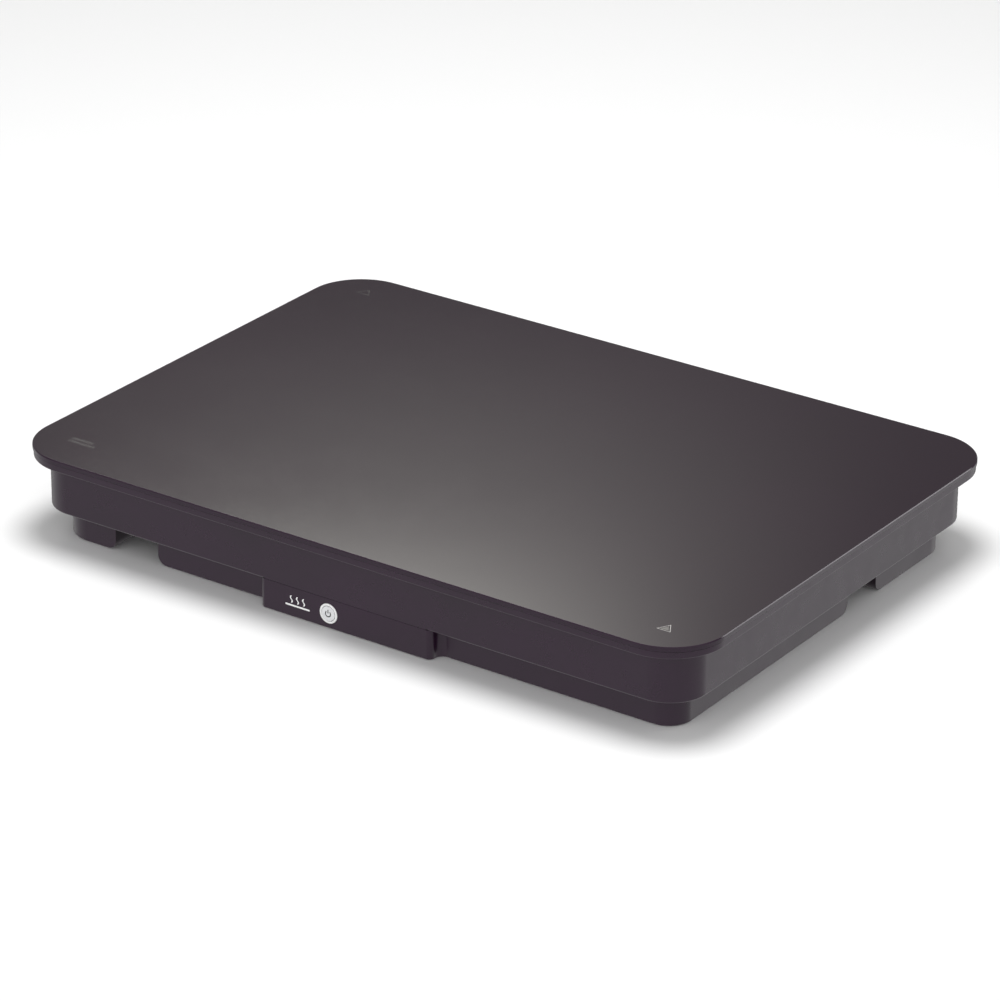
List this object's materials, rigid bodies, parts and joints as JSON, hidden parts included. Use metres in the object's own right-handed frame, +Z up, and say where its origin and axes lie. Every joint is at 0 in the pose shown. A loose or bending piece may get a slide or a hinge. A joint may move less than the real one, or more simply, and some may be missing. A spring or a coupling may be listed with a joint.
{
  "type": "glass-topped warming plate",
  "caption": "Low rectangular electric warming plate with a black glass top, an inset black moulded body, a stepped base with notches and a front panel with a round power button.",
  "frame": {"origin": "middle of the footprint, on the surface that the feet stand on", "axes": "+X to the right along the long front, -Y the front with the power button, +Z up through the glass"},
  "size_m": [0.6, 0.424, 0.0735],
  "materials": {
    "black_glass": "gloss black glass, printed underneath, ground bright edge",
    "silicone": "matt black silicone",
    "body_plastic": "satin black moulded plastic, fine grain",
    "base_plastic": "satin black moulded plastic, fine grain",
    "foot_rubber": "matt black rubber",
    "ring_white": "glossy white",
    "cap_grey": "satin pale grey",
    "steel": "bright zinc",
    "zinc": "zinc-plated sheet",
    "aluminium": "mill finish",
    "brass": "bright",
    "mat_orange": "satin silicone mat",
    "fibre": "pressed mineral fibre board",
    "board_green": "solder mask",
    "part_green": "satin",
    "part_blue": "sleeve",
    "cap_yellow": "satin",
    "cream": "satin",
    "led_white": "clear gloss",
    "black_part": "satin black",
    "wire_brown": "soft vinyl",
    "wire_blue": "soft vinyl",
    "wire_green": "soft vinyl, green and yellow",
    "wire_white": "silicone sleeve",
    "wire_black": "soft vinyl",
    "wire_grey": "soft vinyl"
  },
  "bodies": {
    "housing": {"base_screw_front_left": "steel", "base_screw_front_middle": "steel", "base_screw_front_right": "steel", "base_screw_rear_left": "steel", "base_screw_rear_middle": "steel", "base_screw_rear_right": "steel", "base_tray": "base_plastic", "bulk_capacitor": "part_blue", "button_bezel": "ring_white", "button_spring": "steel", "control_board": "board_green", "controller_chip": "black_part", "cutout_lead_a": "wire_white", "cutout_lead_b": "wire_white", "earth_blade": "brass", "earth_lug": "brass", "earth_nut": "steel", "earth_screw": "steel", "earth_wire": "wire_green", "foot_front_left": "foot_rubber", "foot_front_right": "foot_rubber", "foot_rear_left": "foot_rubber", "foot_rear_right": "foot_rubber", "fuse": "led_white", "glass_gasket": "silicone", "glass_plate": "black_glass", "heat_shield": "zinc", "heat_spreader": "aluminium", "heater_lead_a": "wire_white", "heater_lead_b": "wire_white", "heater_mat": "mat_orange", "heater_terminals": "part_green", "indicator_led": "led_white", "inlet_screw_left": "steel", "inlet_screw_right": "steel", "insulation_board": "fibre", "live_blade": "brass", "live_wire": "wire_brown", "mains_capacitor": "cap_yellow", "mains_inlet": "black_part", "mains_terminals": "part_green", "neutral_blade": "brass", "neutral_wire": "wire_blue", "power_board": "board_green", "relay": "black_part", "sensor_lead": "wire_black", "shield_screw_front_left": "steel", "shield_screw_front_right": "steel", "shield_screw_rear_left": "steel", "shield_screw_rear_right": "steel", "signal_cable": "wire_grey", "signal_connector": "cream", "supply_transformer": "black_part", "switch_body": "black_part", "temperature_sensor": "brass", "thermal_cutout": "zinc", "upper_housing": "body_plastic"},
    "power_button": {"button_cap": "cap_grey"},
    "switch_plunger": {"switch_plunger": "steel"}
  },
  "joints": [
    {"name": "power_button_press", "type": "slide", "parent": "housing", "child": "power_button", "axis": [0, 1, 0], "range_m": [0, 0.001], "stiffness_N_per_m": 800, "springref_m": -0.0015, "deforming": ["button_spring"]},
    {"name": "switch_plunger_press", "type": "slide", "parent": "housing", "child": "switch_plunger", "axis": [0, 1, 0], "range_m": [0, 0.001], "stiffness_N_per_m": 200, "springref_m": -0.0005}
  ],
  "couplings": [
    {"joint": "switch_plunger_press", "follows": "power_button_press", "ratio": 1}
  ]
}
